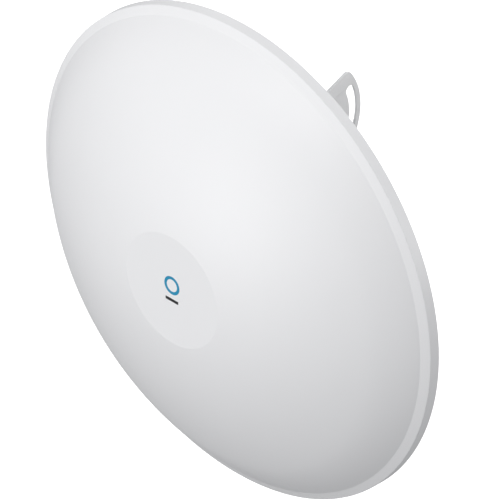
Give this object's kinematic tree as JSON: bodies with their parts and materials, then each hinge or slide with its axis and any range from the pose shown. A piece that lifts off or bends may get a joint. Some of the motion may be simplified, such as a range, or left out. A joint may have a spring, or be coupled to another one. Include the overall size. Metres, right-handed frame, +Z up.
{
  "type": "outdoor wireless bridge",
  "caption": "Point-to-point radio dish behind a domed radome, with the radio in its feed, on a mast clamp with a slotted elevation bracket.",
  "frame": {"origin": "on the axis of the 50 mm mast that the clamp holds, at half the clamp's height", "axes": "+Z up along the mast, the beam leaves along -Y, +X is the dish's right-hand side seen from its front"},
  "size_m": [0.52, 0.3399, 0.52],
  "materials": {
    "radome_plastic": "satin moulded ASA, off-white",
    "dish_paint": "light grey powder coat on spun aluminium",
    "rubber_seal": "black EPDM",
    "clamp_ring_aluminium": "stamped, brushed",
    "housing_plastic": "fine spark-eroded texture, off-white",
    "feed_aluminium": "machined",
    "circuit_board": "green solder mask",
    "tinned_steel": "tin plated",
    "indicator_lens": "translucent",
    "dark_plastic": "moulded, dark grey",
    "painted_bracket": "light grey powder coat on 3 mm steel",
    "galvanised_steel": "hot-dip galvanised 3 mm steel",
    "zinc_fastener": "zinc plated steel"
  },
  "bodies": {
    "pole_mount": {"pole_bracket": "galvanised_steel", "pivot_bolt": "zinc_fastener", "pivot_washer": "zinc_fastener", "pivot_nut": "zinc_fastener", "slot_bolt": "zinc_fastener", "slot_washer": "zinc_fastener", "slot_nut": "zinc_fastener", "clamp_bolt_left": "zinc_fastener", "clamp_bolt_right": "zinc_fastener"},
    "dish_assembly": {"radome_cover": "radome_plastic", "rim_gasket": "rubber_seal", "reflector_dish": "dish_paint", "rim_clamp_ring": "clamp_ring_aluminium", "rim_screw_1": "zinc_fastener", "rim_screw_2": "zinc_fastener", "rim_screw_3": "zinc_fastener", "rim_screw_4": "zinc_fastener", "rim_screw_5": "zinc_fastener", "rim_screw_6": "zinc_fastener", "rim_screw_7": "zinc_fastener", "rim_screw_8": "zinc_fastener", "feed_tube": "housing_plastic", "feed_cap": "housing_plastic", "sub_reflector": "feed_aluminium", "feed_horn": "feed_aluminium", "main_board": "circuit_board", "rf_shield": "tinned_steel", "heat_spreader": "feed_aluminium", "ethernet_jack": "tinned_steel", "feed_lock_ring": "dark_plastic", "backing_plate": "galvanised_steel", "reset_switch": "dark_plastic", "rear_housing": "housing_plastic", "housing_seal": "rubber_seal", "rear_cap": "housing_plastic", "led_window": "indicator_lens", "vent_plug": "dark_plastic", "cap_screw_1": "zinc_fastener", "cap_screw_2": "zinc_fastener", "cap_screw_3": "zinc_fastener", "cap_screw_4": "zinc_fastener", "port_cover_pin": "zinc_fastener", "dish_bracket": "painted_bracket", "bracket_bolt_1": "zinc_fastener", "bracket_bolt_2": "zinc_fastener", "bracket_bolt_3": "zinc_fastener", "bracket_bolt_4": "zinc_fastener", "earth_washer": "zinc_fastener", "earth_screw": "zinc_fastener"},
    "clamp_jaw": {"clamp_jaw": "galvanised_steel", "clamp_nut_left": "zinc_fastener", "clamp_nut_right": "zinc_fastener"},
    "port_cover": {"port_cover": "housing_plastic", "cable_grommet": "rubber_seal"},
    "reset_button": {"reset_button": "dark_plastic"}
  },
  "joints": [
    {"name": "elevation", "type": "hinge", "parent": "pole_mount", "child": "dish_assembly", "pos_m": [0.0645, -0.03437, 0.1018], "axis": [-1, 0, 0], "range_deg": [-20, 50]},
    {"name": "clamp_close", "type": "slide", "parent": "pole_mount", "child": "clamp_jaw", "axis": [0, 1, 0], "range_m": [-0.019, 0.022]},
    {"name": "port_cover_hinge", "type": "hinge", "parent": "dish_assembly", "child": "port_cover", "pos_m": [0.116, -0.08627, 0.0244], "axis": [-1, 0, 0], "range_deg": [0, 90]},
    {"name": "reset_press", "type": "slide", "parent": "dish_assembly", "child": "reset_button", "axis": [0, 0, 1], "range_m": [0, 0.0005], "stiffness_N_per_m": 800, "springref_m": -0.0003}
  ]
}
